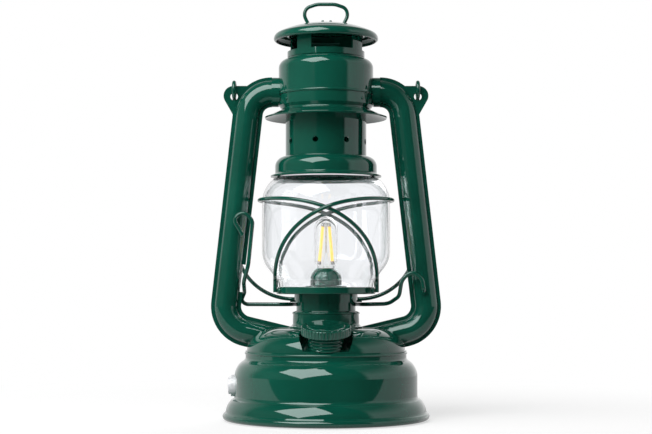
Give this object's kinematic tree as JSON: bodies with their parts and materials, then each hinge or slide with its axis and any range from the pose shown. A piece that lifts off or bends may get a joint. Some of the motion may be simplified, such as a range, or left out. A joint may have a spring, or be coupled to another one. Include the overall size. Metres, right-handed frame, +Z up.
{
  "type": "camping lantern",
  "caption": "Hurricane-pattern camping lantern with a round base, bent side tubes, a liftable glass globe, a swinging carrying bail and an electric filament bulb.",
  "frame": {"origin": "centre of the base on the ground under the rubber feet", "axes": "+Z up along the lantern, +X to the right when the filler cap (-Y) faces the viewer"},
  "size_m": [0.1506, 0.1348, 0.2745],
  "materials": {
    "green_paint": "gloss",
    "rubber": "matt",
    "steel": "satin",
    "glass": "clear",
    "black_plastic": "matt",
    "board": "satin",
    "cell_wrap": "gloss",
    "lead": "satin",
    "filament": "satin",
    "button_silver": "satin"
  },
  "bodies": {
    "frame": {"base_shell": "green_paint", "base_plate": "green_paint", "base_plate_screws": "steel", "screw_bosses": "green_paint", "rubber_feet": "rubber", "battery_cells": "cell_wrap", "battery_tray": "black_plastic", "circuit_board": "board", "board_posts": "black_plastic", "tank_dome": "green_paint", "filler_neck": "green_paint", "charge_socket": "black_plastic", "charge_lead": "lead", "button_bezel": "button_silver", "button_nut": "steel", "switch_module": "black_plastic", "burner_neck": "green_paint", "lamp_holder": "black_plastic", "lamp_lead": "lead", "burner_cone": "green_paint", "bulb_cap": "steel", "bulb_glass": "glass", "bulb_stem": "glass", "led_filaments": "filament", "filament_supports": "steel", "chamber_lower": "green_paint", "chamber_upper": "green_paint", "tube_sockets": "green_paint", "tube_right_front": "green_paint", "tube_right_rear": "green_paint", "tube_left_front": "green_paint", "tube_left_rear": "green_paint", "lever_bush": "steel", "crown_spring": "steel"},
    "globe_carriage": {"globe_plate": "green_paint", "globe": "glass", "guard_wire_left": "green_paint", "guard_wire_right": "green_paint", "guard_rivets": "green_paint"},
    "crown": {"chimney_tube": "green_paint", "globe_bell": "green_paint", "hood": "green_paint", "hood_posts": "green_paint", "hood_ring": "green_paint"},
    "globe_lever": {"globe_lever": "green_paint"},
    "bail": {"bail": "green_paint"},
    "filler_gasket": {"filler_gasket": "rubber"},
    "filler_cap": {"filler_cap": "green_paint"},
    "button": {"button_cap": "button_silver"}
  },
  "joints": [
    {"name": "bail_swing", "type": "hinge", "parent": "frame", "child": "bail", "pos_m": [0, 0, 0.2165], "axis": [1, 0, 0], "range_deg": [0, 325]},
    {"name": "globe_lift", "type": "slide", "parent": "frame", "child": "globe_carriage", "axis": [0, 0, 1], "range_m": [0, 0.007], "deforming": ["crown_spring"]},
    {"name": "crown_lift", "type": "slide", "parent": "globe_carriage", "child": "crown", "axis": [0, 0, 1], "range_m": [0, 0.0075], "stiffness_N_per_m": 300, "springref_m": -0.01, "deforming": ["crown_spring"]},
    {"name": "lever_lift", "type": "hinge", "parent": "frame", "child": "globe_lever", "pos_m": [0.0635, 0, 0.084], "axis": [0, 1, 0], "range_deg": [0, 5.7]},
    {"name": "filler_cap_rise", "type": "slide", "parent": "frame", "child": "filler_gasket", "axis": [0, -0.225, 0.9744], "range_m": [0, 0.0031]},
    {"name": "filler_cap_turn", "type": "hinge", "parent": "filler_gasket", "child": "filler_cap", "pos_m": [0, -0.041, 0.0482], "axis": [0, -0.225, 0.9744], "range_deg": [0, 540]},
    {"name": "button_press", "type": "slide", "parent": "frame", "child": "button", "axis": [1, 0, 0], "range_m": [0, 0.0012], "stiffness_N_per_m": 800, "springref_m": -0.001}
  ],
  "couplings": [
    {"joint": "lever_lift", "follows": "globe_lift", "rad_per_m": 13.83},
    {"joint": "filler_cap_rise", "follows": "filler_cap_turn", "m_per_rad": 0.00031831}
  ]
}
